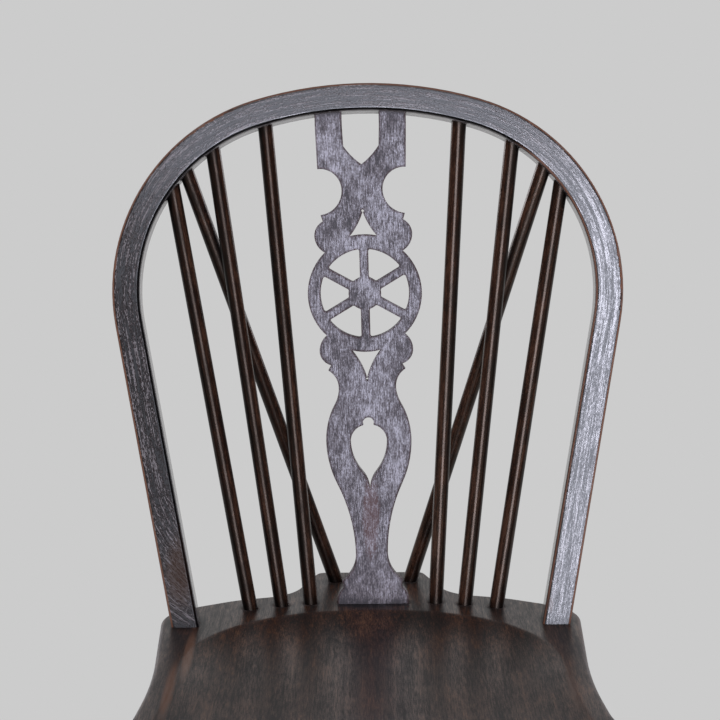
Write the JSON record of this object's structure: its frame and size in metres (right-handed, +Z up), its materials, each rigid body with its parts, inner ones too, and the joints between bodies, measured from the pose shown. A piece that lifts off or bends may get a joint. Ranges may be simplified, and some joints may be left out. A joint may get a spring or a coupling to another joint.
{
  "type": "wheelback dining chair",
  "caption": "Wooden dining chair with a bent bow back, a pierced splat with a wheel, slim back sticks, a hollowed seat with a tail, and splayed turned legs with stretchers.",
  "frame": {"origin": "on the floor under the middle of the chair", "axes": "+Z up, -Y to the front, +X to the right of someone facing the chair"},
  "size_m": [0.4208, 0.5023, 0.8715],
  "materials": {
    "seat_wood": "satin",
    "bow_wood": "satin",
    "splat_wood": "satin",
    "stick_wood": "satin",
    "brace_wood": "satin",
    "leg_wood": "satin",
    "stretcher_wood": "satin",
    "wedge_wood": "matte"
  },
  "bodies": {
    "root": {"brace_left": "brace_wood", "brace_right": "brace_wood", "hoop": "bow_wood", "leg_front_left": "leg_wood", "leg_front_right": "leg_wood", "leg_rear_left": "leg_wood", "leg_rear_right": "leg_wood", "seat": "seat_wood", "splat": "splat_wood", "stick_left_inner": "stick_wood", "stick_left_middle": "stick_wood", "stick_left_outer": "stick_wood", "stick_right_inner": "stick_wood", "stick_right_middle": "stick_wood", "stick_right_outer": "stick_wood", "stretcher_cross": "stretcher_wood", "stretcher_left": "stretcher_wood", "stretcher_right": "stretcher_wood", "wedge_left": "wedge_wood", "wedge_right": "wedge_wood"}
  },
  "joints": []
}
